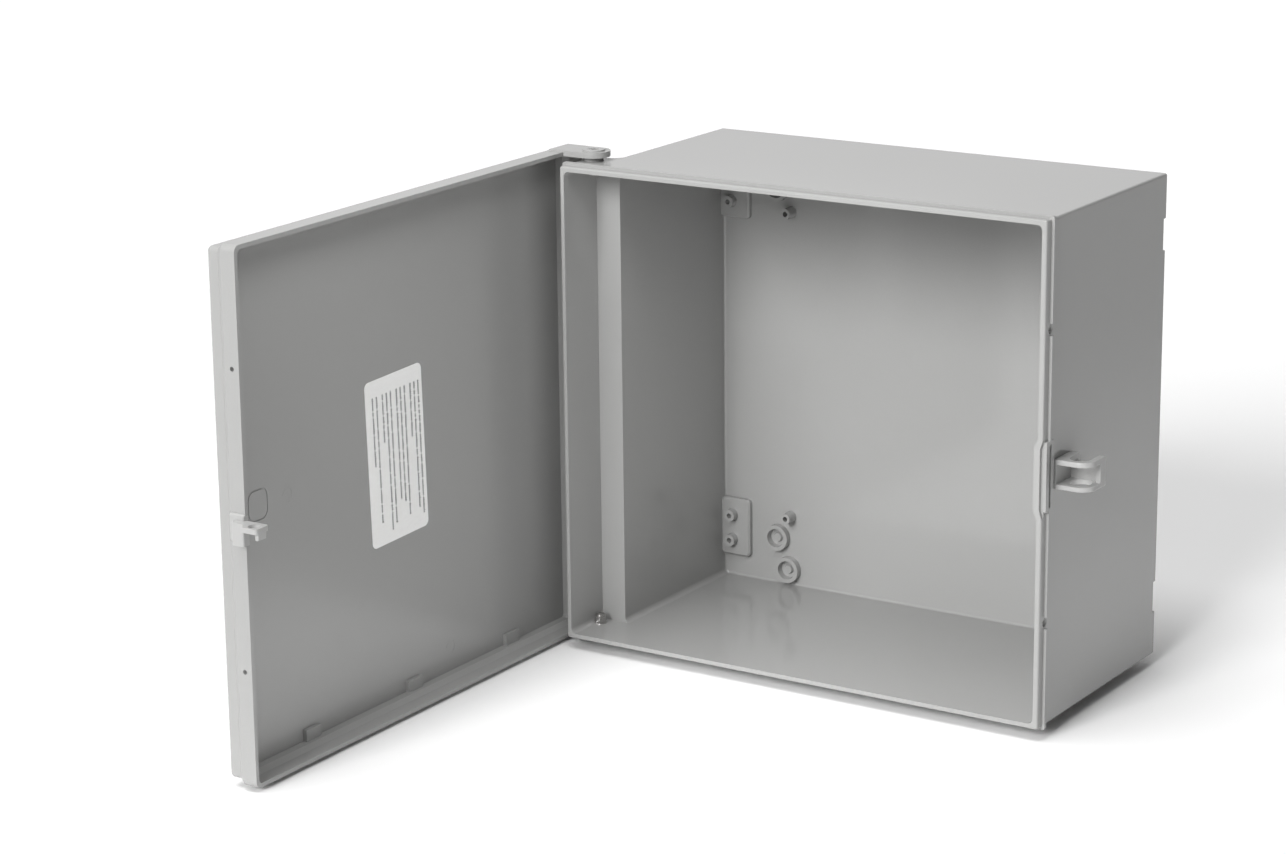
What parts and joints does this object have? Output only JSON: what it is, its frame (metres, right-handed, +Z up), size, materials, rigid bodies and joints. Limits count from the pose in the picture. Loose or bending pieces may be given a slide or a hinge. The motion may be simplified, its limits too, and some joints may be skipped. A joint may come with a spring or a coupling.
{
  "type": "hinged wall enclosure",
  "caption": "Wall-mounted moulded plastic electrical enclosure with a side-hinged lipped door, a padlock hook and staple, and rear corner fittings for feet and an inner panel.",
  "frame": {"origin": "centre of the flat rear face that goes against the wall", "axes": "+X to the right seen from the front, +Y into the wall, +Z up; the opening faces -Y and the door stands open towards -Y"},
  "size_m": [0.4001, 0.496, 0.3316],
  "materials": {
    "shell": "light grey moulded polymer with a slight sheen and a fine moulded grain",
    "latch_moulding": "light grey moulded polymer, satin",
    "label": "satin white film",
    "fastener": "stainless, satin"
  },
  "bodies": {
    "box": {"enclosure_box": "shell", "padlock_staple": "latch_moulding", "upper_hinge_screw": "fastener", "upper_hinge_nut": "fastener", "lower_hinge_screw": "fastener", "lower_hinge_nut": "fastener"},
    "door": {"door": "shell", "padlock_hook": "latch_moulding", "door_label": "label"}
  },
  "joints": [
    {"name": "door_hinge", "type": "hinge", "parent": "box", "child": "door", "pos_m": [-0.17435, -0.1412, 0], "axis": [0, 0, 1], "range_deg": [-75, 90]}
  ]
}
